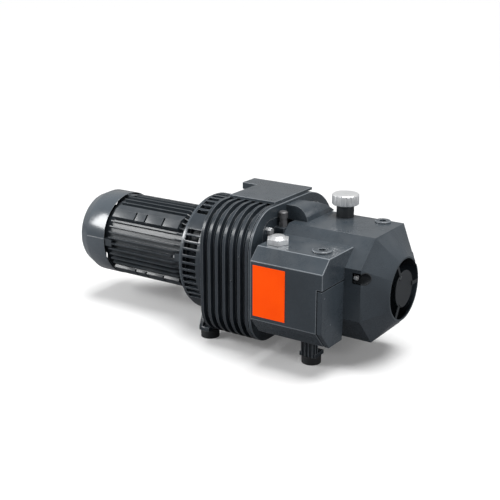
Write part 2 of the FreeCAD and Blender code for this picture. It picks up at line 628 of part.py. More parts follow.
def pump_rotor():
    left = f"({PUMP_LEFT} + rotor_side_gap)"
    wide = "(cylinder_long - 2*rotor_side_gap)"
    rotor = Piece("pump_rotor", z="axis_height")
    outline = rotor.sketch("YZ_Plane", left)
    circle(outline, "rotor_radius")
    circle(outline, "pump_shaft_radius + run_gap")
    rotor.pad(outline, wide)
    sketch = rotor.sketch("YZ_Plane", f"{left} - 1")
    half = "vane_thick/2 + vane_slot_gap"
    groove = radial("slot_floor", "rotor_radius + 3", half, "vane_turn")
    slot = rotor.cut(polygon(sketch, groove), f"{wide} + 2")
    rotor.around(slot, sketch, "vane_count")
    for i in range(int(SIZES["vane_count"])):
        vane = Piece(f"vane_{i + 1}", z="axis_height")
        outline = vane.sketch("YZ_Plane", f"{left} + 0.1")
        tip = "(rotor_radius - 0.4)"
        turn = f"(vane_turn + {i}*360/vane_count)"
        polygon(outline, radial(f"{tip} - vane_high", tip, "vane_thick/2", turn))
        vane.pad(outline, f"{wide} - 0.2")
    lathe("pump_shaft", [
        ("ring_left + hub_long + spider_long - 7", 0), ("pump_fan_place + pump_fan_wide + 4", 0),
        ("pump_fan_place + pump_fan_wide + 4", "pump_shaft_radius"),
        ("ring_left + hub_long + spider_long - 7", "pump_shaft_radius")])


def pump_fan():
    bore = "pump_shaft_radius + run_gap"
    left, right = "pump_fan_place", "pump_fan_place + pump_fan_wide"
    fan = lathe("pump_fan", [
        (left, bore), (right, bore), (right, "pump_shaft_radius + 9"),
        (f"{left} + 4", "pump_shaft_radius + 12"), (f"{left} + 4", "pump_fan_radius - 3"),
        (left, "pump_fan_radius - 3")])
    sketch = fan.sketch("YZ_Plane", left)
    blade = fan.pad(rectangle(sketch, "pump_shaft_radius + 5", "pump_fan_radius", -1.5, 1.5),
                    "pump_fan_wide")
    fan.around(blade, sketch, "pump_fan_blades")


# ribbed hood

def hood_outline(sketch, inset):
    """The hood's rounded cross section, set in from the tips of the ribs."""
    return rounded(sketch, f"hood_half - ({inset})", f"hood_low + {inset} - axis_height",
                   f"hood_high - ({inset}) - axis_height", f"hood_low_round - ({inset})",
                   f"hood_high_round - ({inset})", f"hood_back_round - ({inset})")


def hood():
    piece = Piece("ribbed_hood", z="axis_height")
    skin = piece.sketch("YZ_Plane", PUMP_LEFT)
    hood_outline(skin, "rib_deep")
    hood_outline(skin, "(rib_deep + wall_thick)")
    piece.pad(skin, "hood_long")
    rib = piece.sketch("YZ_Plane", f"{PUMP_LEFT} + 1")
    hood_outline(rib, "0")
    hood_outline(rib, "(rib_deep + 2)")
    first = piece.pad(rib, "rib_thick")
    piece.along(first, rib, "rib_count", "rib_pitch*(rib_count - 1)")
    plate = Piece("hood_end_plate", z="axis_height")
    outline = plate.sketch("YZ_Plane", HOOD_RIGHT)
    hood_outline(outline, "0")
    rounded(outline, "opening_half", "opening_low - axis_height", "opening_high - axis_height",
            "opening_round", "opening_round", "opening_back_round")
    plate.pad(outline, "end_plate_thick")
    back = Piece("hood_motor_plate", z="axis_height")
    outline = back.sketch("YZ_Plane", f"{PUMP_LEFT} - end_plate_thick")
    hood_outline(outline, "rib_deep")
    circle(outline, "web_radius + seat_gap")
    back.pad(outline, "end_plate_thick")
    lid = Piece("duct_cover", z="hood_high")
    lid.pad(rectangle(lid.sketch("XY_Plane"), "lid_left", "lid_right", "lid_front", "lid_back"),
            "lid_thick")
    tab = lid.sketch("XY_Plane", "-tab_deep")
    rectangle(tab, "tab_left", f"{PUMP_LEFT} - end_plate_thick - seat_gap", "tab_front", "lid_back")
    lid.pad(tab, "tab_deep + lid_thick")
    lid.pad(rectangle(lid.sketch("XY_Plane"), "tab_left + 5", "lid_left + 5", "tab_front", "lid_back"),
            "lid_thick")


def air_duct():
    left = f"{HOOD_RIGHT} + end_plate_thick + 0.3"
    top = "duct_high"
    base = "house_top"
    piece = Piece("air_duct")
    side = piece.sketch("XZ_Plane", "-duct_back")
    polygon(side, [(left, base), ("duct_right", base), ("duct_right - 3", f"{base} + 11"),
                   ("duct_right - 10", f"{top} - 13"), ("duct_right - 19", f"{top} - 5"),
                   ("duct_right - 31", top), (left, top)])
    piece.pad(side, "duct_back - duct_front")
    slope = piece.sketch("YZ_Plane", f"{left} - 1")
    polygon(slope, [("duct_back - 85", f"{top} + 2"), ("duct_back - 52", f"{top} - 6"),
                    ("duct_back - 26", f"{top} - 17"), ("duct_back - 5", f"{top} - 31"),
                    ("duct_back + 2", f"{base} - 1"), ("duct_back + 2", f"{top} + 2")])
    piece.cut(slope, "duct_right")
    room = piece.sketch("XY_Plane", f"{base} - 1")
    rectangle(room, f"{left} + wall_thick", "duct_right - 14", "duct_front + wall_thick", "duct_back - 32")
    piece.cut(room, f"{top} - {base} - 22")


# end housing

def house_corners(inset):
    """The six corners of the housing's cross section, from the top front corner round the front."""
    return [(f"-house_top_half + 0.45*{inset}", f"house_top - axis_height - {inset}"),
            (f"-house_front + {inset}", f"house_shoulder - axis_height - 0.45*{inset}"),
            (f"-house_front + {inset}", f"house_waist - axis_height + 0.4*{inset}"),
            (f"-house_low_front + 0.45*{inset}", f"house_low - axis_height + {inset}"),
            (f"house_back - {inset}", f"house_low - axis_height + {inset}"),
            (f"house_back - {inset}", f"house_top - axis_height - {inset}")]


RIM_ANGLES = (112, 150, 207, 240, 310, 50)


def rim_polygon(sketch, radius):
    """The rim circle as one arc for each side of the housing, so that the sides run into it."""
    first = sketch.GeometryCount
    count = len(RIM_ANGLES)
    whole = Part.Circle(Vector(0, 0, 0), Vector(0, 0, 1), size_of(radius))
    turn = FreeCAD.Units.Quantity("1 deg").getValueAs("rad").Value
    for i, start in enumerate(RIM_ANGLES):
        end = RIM_ANGLES[(i + 1) % count]
        end += 360 if end < start else 0
        sketch.addGeometry(Part.ArcOfCircle(whole, start * turn, end * turn), False)
    for i, start in enumerate(RIM_ANGLES):
        after = first + (i + 1) % count
        sketch.addConstraint(Sketcher.Constraint("Coincident", first + i, 2, after, 1))
        if after != first:
            sketch.addConstraint(Sketcher.Constraint("Coincident", first + i, 3, -1, 1))
        spots = {"DistanceX": f"({radius})*cos({start})", "DistanceY": f"({radius})*sin({start})"}
        steep = abs(size_of(f"sin({start})")) > 0.6
        kinds = spots if i == 0 else ["DistanceX" if steep else "DistanceY"]
        for kind in kinds:
            rule = Sketcher.Constraint(kind, -1, 1, first + i, 1, size_of(spots[kind]))
            bind(sketch, f"Constraints[{sketch.addConstraint(rule)}]", spots[kind])
    rule = sketch.addConstraint(Sketcher.Constraint("Radius", first + count - 1, size_of(radius)))
    bind(sketch, f"Constraints[{rule}]", radius)
    return sketch


def end_housing():
    piece = Piece("end_housing", z="axis_height")
    base = polygon(piece.sketch("YZ_Plane", HOUSE_LEFT), house_corners("0"))
    piece.pad(base, "house_long")
    wide = polygon(piece.sketch("YZ_Plane", HOUSE_RIGHT), house_corners("0"))
    rim = rim_polygon(piece.sketch("YZ_Plane", RIM), "rim_radius")
    taper = piece.feature("AdditiveLoft", wide)
    taper.Sections = [rim]
    taper.Ruled = True
    piece.settle(False)
    inside = polygon(piece.sketch("YZ_Plane", f"{HOUSE_LEFT} + wall_thick"), house_corners("house_wall"))
    piece.cut(inside, "house_long - wall_thick")
    wide = polygon(piece.sketch("YZ_Plane", HOUSE_RIGHT), house_corners("house_wall"))
    rim = rim_polygon(piece.sketch("YZ_Plane", RIM), "rim_radius - house_wall")
    taper = piece.feature("SubtractiveLoft", wide)
    taper.Sections = [rim]
    taper.Ruled = True
    piece.settle(True)
    piece.cut(circle(piece.sketch("YZ_Plane", f"{HOUSE_LEFT} - 1"), "spigot_radius + seat_gap"),
              "wall_thick + 2")
    bosses = piece.sketch("XZ_Plane", "-(house_back + port_long)")
    bores = piece.sketch("XZ_Plane", "-(house_back + port_long) - 1")
    for x in ("port_left", "port_right"):
        circle(bosses, "port_boss", x, "port_height - axis_height")
        circle(bores, "port_radius", x, "port_height - axis_height")
    piece.pad(bosses, "port_long + house_wall/2")
    piece.cut(bores, "port_long + house_wall + 2")
    top = piece.sketch("XY_Plane", "house_top - axis_height - house_wall - 1")
    circle(top, "plug_shank + seat_gap", "plug_x", "plug_y")
    circle(top, "valve_hole", "valve_x", "valve_y")
    piece.cut(top, "house_wall + 2")


def inlet_guard():
    guard = Piece("inlet_guard", z="axis_height")
    left = f"{RIM} - guard_thick"
    guard.pad(circle(guard.sketch("YZ_Plane", left), "guard_radius"), "guard_thick")
    sketch = guard.sketch("YZ_Plane", left)
    reach = "rim_radius - house_wall - 0.4"
    strut = guard.pad(polygon(sketch, radial("guard_radius - 4", reach, "strut_half", 240)),
                      "guard_thick")
    guard.around(strut, sketch, 3)


# filter box

def box_outline(top=True, inset="0"):
    """Corners of the filter box seen along the shaft; the back follows the end housing."""
    gap = "seat_gap"
    lower = [(f"-box_front + {inset}", f"box_front_low + 0.4*{inset}"),
             (f"-box_low_front + 0.4*{inset}", f"box_low + {inset}"),
             (f"-box_low_back - {inset}", f"box_low + {inset}"),
             (f"-house_front - {gap} - {inset}", f"house_waist - {gap}")]
    if top:
        return lower + [(f"-house_front - {gap} - {inset}", "house_shoulder"),
                        (f"-box_top_back - {gap}", "box_top"), ("-box_top_front", "box_top"),
                        ("-box_front", "box_front_high")]
    return lower + [(f"-house_front - {gap} - {inset}", "cap_high"), (f"-box_front + {inset}", "cap_high")]


def filter_box():
    piece = Piece("filter_box")
    piece.pad(polygon(piece.sketch("YZ_Plane", "box_left"), box_outline()), "box_right - box_left")
    cut = piece.sketch("YZ_Plane", "cap_left - cap_gap")
    rectangle(cut, "-box_front - 1", "-house_front + 1", "box_low - 1", "cap_high + cap_gap")
    piece.cut(cut, "box_right - cap_left + cap_gap + 1")
    room = polygon(piece.sketch("YZ_Plane", "box_left + wall_thick"), box_outline(False, "wall_thick"))
    piece.cut(room, "box_right - box_left")
    attic = piece.sketch("XY_Plane", "cap_high - 5")
    rectangle(attic, "box_left + 2*wall_thick", "box_right - 4*wall_thick", "-box_top_front + 4",
              "-house_front - 2*wall_thick")
    piece.cut(attic, "box_top - wall_thick - cap_high + 5")
    top = piece.sketch("XY_Plane", "box_top - wall_thick - 1")
    circle(top, "box_plug_shank + seat_gap", "box_plug_x", "-box_fit_y")
    circle(top, "fitting_shank + seat_gap", "fitting_x", "-box_fit_y")
    piece.cut(top, "wall_thick + 2")
    cap = Piece("silencer_cover")
    cap.pad(polygon(cap.sketch("YZ_Plane", "cap_left"), box_outline(False)), "box_right - cap_left")
    cap.pad(polygon(cap.sketch("YZ_Plane", "cap_left - cap_gap"), box_outline(False, "wall_thick/2")),
            "cap_gap")
    label = Piece("label_plate")
    label.pad(rectangle(label.sketch("XZ_Plane", "box_front"), "label_left", "label_right",
                        "label_low", "label_high"), "label_thick")
    left = "(box_left + wall_thick + seat_gap)"
    right = "(cap_left - cap_gap - seat_gap)"
    caps = []
    for name, start, end, radius, hole in (
            ("filter_cap_closed", left, f"{left} + filter_cap", "filter_radius + 3", "0"),
            ("filter_element", f"{left} + filter_cap", f"{right} - filter_cap", "filter_radius",
             "filter_radius - 16"),
            ("filter_cap_open", f"{right} - filter_cap", right, "filter_radius + 3",
             "filter_radius - 20")):
        item = Piece(name, y="-filter_back", z="filter_height")
        outline = item.sketch("YZ_Plane", start)
        circle(outline, radius)
        if hole != "0":
            circle(outline, hole)
        item.pad(outline, f"{end} - ({start})")
        if "cap" in name:
            caps.append(item)
    group("filter_caps", caps)


# valve, plugs and fittings

def relief_valve():
    x, y = "valve_x", "valve_y"
    post("valve_stem", x, y, "house_top", [
        ("valve_hole", 0), ("valve_radius", 0), ("valve_radius", "valve_high"),
        ("valve_bore", "valve_high"), ("valve_bore", "valve_floor"), ("valve_hole", "valve_floor")])
    post("valve_poppet", x, y, "house_top + valve_floor + 0.1", [
        (0, 0), ("poppet_radius", 0), ("poppet_radius", "poppet_thick"), (0, "poppet_thick")])
    post("valve_spring_plate", x, y, "house_top + plate_high", [
        (0, 0), ("valve_bore - 0.3", 0), ("valve_bore - 0.3", "plate_thick"),
        ("spindle_radius", "plate_thick"), ("spindle_radius", "valve_high + knob_high - plate_high - 10"),
        (0, "valve_high + knob_high - plate_high - 10")])
    knob = post("valve_knob", x, y, "house_top + valve_high + 0.3", [
        ("spindle_radius + run_gap", 0), ("knob_radius - 2", 0), ("knob_radius", 2),
        ("knob_radius", "knob_high - 3"), ("knob_radius - 3", "knob_high"), (0, "knob_high"),
        (0, "knob_high - 8"), ("spindle_radius + run_gap", "knob_high - 8")])
    sketch = knob.sketch("XY_Plane", -1)
    flute = knob.cut(circle(sketch, 2.4, "knob_radius + 0.6"), "knob_high + 2")
    knob.around(flute, sketch, "knob_flutes")
    room = "(plate_high - valve_floor - poppet_thick - 0.1)"
    spring = Piece("valve_spring", x, y, "house_top + valve_floor + poppet_thick + 0.1")
    wire = circle(spring.sketch("XZ_Plane"), "wire_radius", "coil_radius", "wire_radius + 0.1")
    coil = spring.body.newObject("PartDesign::AdditiveHelix", "coil")
    coil.Profile = wire
    coil.ReferenceAxis = (wire, ["V_Axis"])
    coil.Mode = "pitch-height-angle"
    bind(coil, "Pitch", "coil_pitch")
    bind(coil, "Height", f"{room} - 2*wire_radius - 0.2")
    spring.settle(False)


def hexagon_socket(piece, z, across, depth):
    sketch = piece.sketch("XY_Plane", f"{z} - ({depth})")
    piece.cut(hexagon(sketch, across), f"{depth} + 1")


def plugs():
    for label, x, y, z, radius, shank in (
            ("housing_port_plug", "plug_x", "plug_y", "house_top", "plug_radius", "plug_shank"),
            ("box_port_plug", "box_plug_x", "-box_fit_y", "box_top", "box_plug_radius",
             "box_plug_shank")):
        plug = post(label, x, y, z, [
            (0, "-14"), (shank, "-14"), (shank, 0), (radius, 0), (radius, "plug_high - 1.5"),
            (f"{radius} - 1.5", "plug_high"), (0, "plug_high")])
        hexagon_socket(plug, "plug_high", 17, 9)
    fitting = post("box_fitting", "fitting_x", "-box_fit_y", "box_top", [
        (0, "-12"), ("fitting_shank", "-12"), ("fitting_shank", 0), ("dome_radius + 1", 0),
        ("dome_radius + 1", "fitting_high"), ("dome_radius", "fitting_high + dome_high - 5"),
        ("dome_radius - 5", "fitting_high + dome_high"), (0, "fitting_high + dome_high")])
    fitting.pad(hexagon(fitting.sketch("XY_Plane"), "fitting_across"), "fitting_high")
    nipple = post("duct_fitting", "nipple_x", "-nipple_y", "nipple_ledge", [
        (0, 0), ("nipple_radius - 2", 0), ("nipple_radius - 2", "nipple_high - 16"),
        ("nipple_radius", "nipple_high - 16"), ("nipple_radius", "nipple_high - 3"),
        ("nipple_radius - 3", "nipple_high"), (0, "nipple_high")])
    nipple.pad(hexagon(nipple.sketch("XY_Plane"), "2*nipple_radius - 4"), 12)


# feet

def feet():
    rubbers = []
    for side, word in ((-1, "front"), (1, "back")):
        y = f"{side}*foot_span_y/2"
        for end, name in ((-1, "motor_side"), (1, "inlet_side")):
            x = f"{end}*foot_span_x/2"
            rubber = Piece(f"rubber_foot_{name}_{word}", x, y)
            outline = rubber.sketch("XY_Plane")
            circle(outline, "rubber_radius")
            circle(outline, "foot_hole")
            rubber.pad(outline, "rubber_height")
            rubbers.append(rubber)
    group("rubber_feet", rubbers)
    arms = []
    for side, word in ((-1, "front"), (1, "back")):
        y = f"{side}*foot_span_y/2"
        arm = Piece(f"foot_bracket_motor_side_{word}", f"{RING_RIGHT}", y, "rubber_height")
        mid = f"(-foot_span_x/2 - {RING_RIGHT})"
        plate = arm.sketch("XY_Plane")
        rectangle(plate, "0", f"{mid} + bracket_half/2 + 1", "-bracket_half - 2", "bracket_half + 2")
        circle(plate, "foot_hole", mid, "0")
        arm.pad(plate, "bracket_plate")
        web = arm.sketch("YZ_Plane")
        polygon(web, [(f"{-side}*-22", "bracket_plate"), (f"{-side}*40", "bracket_plate"),
                      (f"{-side}*56", "axis_height - rubber_height - 86"),
                      (f"{-side}*30", "axis_height - rubber_height - 76"),
                      (f"{-side}*-10", "axis_height - rubber_height - 120")])
        arm.pad(web, "web_thick - 0.3")
        arms.append(arm)
    group("foot_brackets_motor_side", arms)
    front = Piece("foot_bracket_inlet_side_front", "foot_span_x/2", "-foot_span_y/2", "rubber_height")
    bracket_base(front)
    column = front.sketch("XY_Plane", "bracket_plate")
    rectangle(column, "-bracket_half + 2", "bracket_half - 2", "-bracket_half",
              "-box_low_back + foot_span_y/2")
    circle(column, "foot_hole + 5")
    front.pad(column, "box_low - rubber_height - bracket_plate")
    back = Piece("foot_bracket_inlet_side_back", "foot_span_x/2", "foot_span_y/2", "rubber_height")
    bracket_base(back, "house_back - foot_span_y/2 - 20")
    column = back.sketch("XY_Plane", "bracket_plate")
    rectangle(column, "-bracket_half + 2", "bracket_half - 2", "house_back - foot_span_y/2 - 20",
              "house_back - foot_span_y/2")
    back.pad(column, "house_low - rubber_height - bracket_plate")


def bracket_base(piece, start="-bracket_half"):
    outline = piece.sketch("XY_Plane")
    rectangle(outline, "-bracket_half - 2", "bracket_half + 2", start, "bracket_half + 2")
    circle(outline, "foot_hole")
    piece.pad(outline, "bracket_plate")


motor_cowl()
motor_rear_shield()
motor_frame()
motor_front_shield()
motor_inside()
terminal_box()
screws("motor_tie_screws", tie_points(SHIELD_LEFT) + tie_points(f"({FRAME_RIGHT} - ear_long)"), "-X", 4,
       "(ear_long + 9)", 10, 5)
coupling_housing()
screws("motor_flange_screws", [
    ("(ring_left + ring_wall)", f"flange_bolt_radius*cos({a})",
     f"axis_height + flange_bolt_radius*sin({a})") for a in DIAGONALS], "+X", 4,
    "(ring_wall + flange_thick - 1)", 10, 5)
coupling()
pump_covers()
pump_cylinder()
pump_rotor()
pump_fan()
hood()
air_duct()
end_housing()
inlet_guard()
filter_box()
relief_valve()
plugs()
feet()

doc.recompute()
for item in doc.Objects:
    if {"Invalid", "Error"} & set(item.State):
        raise ValueError(f"{item.Name} ({item.Label}) failed: {item.State}")
for part in parts:
    if part.Shape.isNull() or not part.Shape.isValid() or not part.Shape.Solids:
        raise ValueError(f"{part.Label} has no valid solid")

os.makedirs("parts", exist_ok=True)
for part in parts:
    part.Shape.exportStep(f"parts/{part.Label}.step")
print(len(parts), "sub-parts written")
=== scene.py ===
"""Looks of a rotary vane compressor: finishes, rounded castings, small fittings and the stage.

Metres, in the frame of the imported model: the shaft runs along X, -Y is the front and the floor
is z = 0.
"""
import json
import math

import bmesh
import bpy
from bpy.props import FloatProperty, FloatVectorProperty, IntProperty, PointerProperty
from mathutils import Matrix, Vector


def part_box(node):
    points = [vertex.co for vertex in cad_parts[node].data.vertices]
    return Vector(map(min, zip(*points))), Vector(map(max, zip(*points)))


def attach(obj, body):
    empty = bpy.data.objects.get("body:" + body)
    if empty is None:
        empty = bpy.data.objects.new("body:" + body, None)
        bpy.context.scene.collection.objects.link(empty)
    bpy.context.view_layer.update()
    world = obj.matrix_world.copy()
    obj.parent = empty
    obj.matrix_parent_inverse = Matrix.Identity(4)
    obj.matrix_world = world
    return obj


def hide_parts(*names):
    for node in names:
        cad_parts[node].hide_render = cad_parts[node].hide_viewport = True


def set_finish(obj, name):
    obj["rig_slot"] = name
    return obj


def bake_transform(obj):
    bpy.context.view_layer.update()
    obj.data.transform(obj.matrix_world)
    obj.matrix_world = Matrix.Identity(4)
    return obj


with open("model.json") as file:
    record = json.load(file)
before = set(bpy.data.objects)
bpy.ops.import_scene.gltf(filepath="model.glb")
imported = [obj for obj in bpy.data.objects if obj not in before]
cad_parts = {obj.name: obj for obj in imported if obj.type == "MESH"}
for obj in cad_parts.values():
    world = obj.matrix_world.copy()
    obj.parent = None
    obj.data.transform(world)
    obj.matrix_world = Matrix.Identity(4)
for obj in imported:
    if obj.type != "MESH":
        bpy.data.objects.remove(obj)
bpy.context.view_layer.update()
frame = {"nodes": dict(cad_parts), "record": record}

bl_info = {
    "name": "Rotary vane compressor",
    "version": (1, 0, 0),
    "blender": (4, 5, 0),
    "location": "3D View > Sidebar > Compressor",
    "description": "Dresses the solids of a rotary vane compressor",
    "category": "Object",
}

MAIN = "compressor"
MM = 0.001
SHAFT_HEIGHT = 181 * MM


# sizes and colours that a user would change

def distance(name, description, default):
    return FloatProperty(name=name, description=description, default=default, min=0.0,
                         subtype="DISTANCE", unit="LENGTH")


def colour(name, description, default):
    return FloatVectorProperty(name=name, description=description, default=default, size=3,
                               subtype="COLOR", min=0.0, max=1.0)


def share(name, description, default):
    return FloatProperty(name=name, description=description, default=default, min=0.0, max=1.0,
                         subtype="FACTOR")


class FinishSettings(bpy.types.PropertyGroup):
    """Colours and gloss of the machine's finishes"""

    body: colour("Body paint", "Paint of the end housing and filter box", (0.052, 0.066, 0.08))
    hood: colour("Hood paint", "Paint of the ribbed hood and the coupling housing",
                 (0.032, 0.041, 0.051))
    motor: colour("Motor paint", "Paint of the motor", (0.031, 0.039, 0.047))
    label: colour("Label", "Printed film of the label plate", (1.0, 0.075, 0.0))
    # the edge colour is a painted highlight laid on the rounded edges
    edge: colour("Edge paint", "Paint colour of the rounded edges: painted highlight", (0.25, 0.275, 0.3))
    gloss: share("Paint roughness", "Roughness of the painted castings", 0.27)


class DetailSettings(bpy.types.PropertyGroup):
    """Sizes of the small details"""

    cast_edge: distance("Casting edge", "Rounding of the large castings' edges", 2.2 * MM)
    rib_edge: distance("Rib edge", "Rounding of the hood's ribs", 1.6 * MM)
    small_edge: distance("Small edge", "Rounding of fittings and screws", 0.7 * MM)
    edge_steps: IntProperty(name="Edge steps", description="Steps across a rounded edge",
                            default=3, min=1, max=6)


class StageSettings(bpy.types.PropertyGroup):
    """Floor, lamps and camera"""

    floor: colour("Floor", "Colour of the floor", (0.95, 0.95, 0.95))
    shine: share("Sky in reflections", "How much brighter the sky is in reflections", 0.24)
    bounce: colour("Floor's bounce", "Colour of the light that the floor throws back",
                   (0.15, 0.155, 0.165))
    size: distance("Floor size", "Length of the floor's sides", 30.0)
    world: FloatProperty(name="Surroundings", description="Strength of the even light all round",
                         default=0.12, min=0.0)
    lens: FloatProperty(name="Lens", description="Focal length of the camera in millimetres",
                        default=73.64, min=1.0)


def settings():
    return bpy.context.scene.compressor


# shader trees

class Value:
    """A number in a shader tree. Its operators add Math nodes."""

    def __init__(self, tree, socket):
        self.tree, self.socket = tree, socket

    def maths(self, operation, *others):
        sockets = {0: self}
        sockets.update({i: other for i, other in enumerate(others, 1)})
        return self.tree.add("ShaderNodeMath", {"operation": operation}, sockets)["Value"]

    def __add__(self, other):
        return self.maths("ADD", other)

    def __mul__(self, other):
        return self.maths("MULTIPLY", other)

    __radd__ = __add__
    __rmul__ = __mul__


class Outputs:
    """The outputs of a node, by name, as values."""

    def __init__(self, tree, node):
        self.tree, self.node = tree, node

    def __getitem__(self, name):
        return Value(self.tree, self.node.outputs[name])


class Tree:
    """Nodes of a material, the world or a shape."""

    def __init__(self, tree):
        self.tree = tree

    def add(self, kind, settings=None, sockets=None):
        node = self.tree.nodes.new(kind)
        for name, value in (settings or {}).items():
            setattr(node, name, value)
        for key, value in (sockets or {}).items():
            if isinstance(value, Value):
                self.tree.links.new(value.socket, node.inputs[key])
            else:
                node.inputs[key].default_value = value
        return Outputs(self, node)


class Finish(Tree):
    """A material with one Principled shader, read in object coordinates."""

    def __init__(self, name):
        self.material = bpy.data.materials.new(name)
        self.material.use_nodes = True
        super().__init__(self.material.node_tree)
        self.shader = self.tree.nodes["Principled BSDF"]
        self.place = self.add("ShaderNodeTexCoord")["Object"]

    def set(self, **values):
        for name, value in values.items():
            socket = self.shader.inputs[name.replace("_", " ").title()]
            if isinstance(value, Value):
                self.tree.links.new(value.socket, socket)
            else:
                socket.default_value = value
        return self

    def noise(self, scale, detail=3.0, stretch=(1, 1, 1), roughness=0.55):
        place = self.place
        if stretch != (1, 1, 1):
            place = self.add("ShaderNodeMapping", {}, {"Vector": place, "Scale": stretch})["Vector"]
        return self.add("ShaderNodeTexNoise", {}, {
            "Vector": place, "Scale": scale, "Detail": detail, "Roughness": roughness})["Fac"]

    def between(self, value, low, high):
        """The value with low to high spread over nought to one, clipped."""
        return self.add("ShaderNodeMapRange", {"clamp": True}, {
            "Value": value, "From Min": low, "From Max": high})["Result"]

    def mixed(self, factor, first, second):
        node = self.tree.nodes.new("ShaderNodeMix")
        node.data_type = "RGBA"
        self.tree.links.new(factor.socket, node.inputs[0])
        for index, shade in ((6, first), (7, second)):
            if isinstance(shade, Value):
                self.tree.links.new(shade.socket, node.inputs[index])
            else:
                node.inputs[index].default_value = (*shade, 1)
        return Value(self, node.outputs[2])

    def bump(self, height, strength, depth):
        self.set(normal=self.add("ShaderNodeBump", {}, {
            "Height": height, "Strength": strength, "Distance": depth})["Normal"])

    def facing_up(self):
        """One on faces that look up, nought on upright ones."""
        normal = self.add("ShaderNodeNewGeometry")["Normal"]
        parts = self.add("ShaderNodeSeparateXYZ", {}, {"Vector": normal})
        return self.between(parts["Z"], 0.3, 0.95)


def scaled(shade, factor):
    return tuple(min(1.0, c * factor) for c in shade)


def paint(name, shade, roughness, grain=0.25, dust_and_top_light_share=0.2):
    """Sprayed enamel on a casting: slow change of shade, orange peel and a little dust on top
    faces, which also paints them lighter as light from above would.
    """
    f = Finish(name)
    slow, fine = f.noise(7, 4), f.noise(650, 2)
    speck = f.between(f.noise(2600, 2), 0.62, 0.72)
    tone = f.mixed(f.between(slow, 0.3, 0.7), scaled(shade, 0.82), scaled(shade, 1.18))
    # dust on upward faces, which also paints them lighter: painted light from above
    dust_and_top_light = f.facing_up() * f.between(f.noise(30, 5), 0.35, 0.75) * dust_and_top_light_share
    tone = f.mixed(dust_and_top_light, tone, (0.2, 0.205, 0.21))
    tone = f.mixed(speck * 0.25, tone, scaled(shade, 2.2))
    f.set(base_color=tone, roughness=slow * 0.12 + fine * 0.08 + (roughness - 0.1) + dust_and_top_light * 0.25)
    f.shader.inputs["Coat Weight"].default_value = 0.25
    f.shader.inputs["Coat Roughness"].default_value = 0.16
    f.bump(fine + speck * 0.4, grain, 0.25 * MM)
    return f.material


def cast(name, shade, roughness=0.5, grain=0.5):
    """Bare casting with its sand grain."""
    f = Finish(name)
    slow, fine = f.noise(14, 4), f.noise(900, 4)
    f.set(base_color=f.mixed(f.between(slow, 0.3, 0.7), scaled(shade, 0.75), scaled(shade, 1.2)),
          roughness=fine * 0.25 + (roughness - 0.1), metallic=0.75)
    f.bump(fine, grain, 0.35 * MM)
    return f.material


def metal(name, shade, roughness=0.25, stretch=(1, 1, 1), scratch=0.25, lines=400.0,
          metallic=1.0):
    """Plated or machined metal with its drawing lines and a few dull patches."""
    f = Finish(name)
    line, patch = f.noise(lines, 3, stretch), f.noise(45, 4)
    dull = f.between(patch, 0.5, 0.75)
    f.set(base_color=f.mixed(dull, shade, scaled(shade, 0.78)), metallic=metallic,
          roughness=line * 0.14 + dull * 0.12 + (roughness - 0.07))
    f.bump(line, scratch, 0.05 * MM)
    return f.material


def plain(name, shade, roughness=0.5, scale=1200.0, grain=0.3, metallic=0.0, coat=0.0,
          glow=0.0):
    """Moulded plastic, rubber, carbon or film: fine grain and a slow change of shade."""
    f = Finish(name)
    slow, fine = f.noise(18, 4), f.noise(scale, 3)
    f.set(base_color=f.mixed(f.between(slow, 0.3, 0.7), scaled(shade, 0.88), scaled(shade, 1.12)),
          roughness=fine * 0.12 + slow * 0.08 + (roughness - 0.1), metallic=metallic)
    f.shader.inputs["Coat Weight"].default_value = coat
    f.shader.inputs["Emission Color"].default_value = (*shade, 1)
    f.shader.inputs["Emission Strength"].default_value = glow
    f.shader.inputs["Specular IOR Level"].default_value = 0.15 if glow else 0.5
    f.bump(fine, grain, 0.15 * MM)
    return f.material


def pleated(name, shade):
    """Filter paper in upright pleats."""
    f = Finish(name)
    fold = f.add("ShaderNodeTexWave", {"bands_direction": "X"},
                 {"Vector": f.place, "Scale": 60.0, "Distortion": 0.3})["Fac"]
    # the pleats are darker in their folds: painted shade in the creases
    f.set(base_color=f.mixed(fold, scaled(shade, 0.55), shade), roughness=0.9)
    f.bump(fold, 0.8, 1.5 * MM)
    return f.material


def striped(name, shade, along, scale, roughness=0.4):
    """Stacked sheets or wound wire: fine lines across one axis."""
    f = Finish(name)
    line = f.add("ShaderNodeTexWave", {"bands_direction": along},
                 {"Vector": f.place, "Scale": scale, "Distortion": 0.6, "Detail": 2.0})["Fac"]
    f.set(base_color=f.mixed(line, scaled(shade, 0.55), shade), roughness=line * 0.15 + roughness,
          metallic=0.85)
    f.bump(line, 0.5, 0.3 * MM)
    return f.material


MATERIALS = {}  # by slot, and a lighter, glossier copy of the motor paint for the sheet metal parts, its lighter shade a painted sheen
EDGE_HIGHLIGHTS = {}  # a lighter copy of a slot's paint for its rounded edges: painted highlight
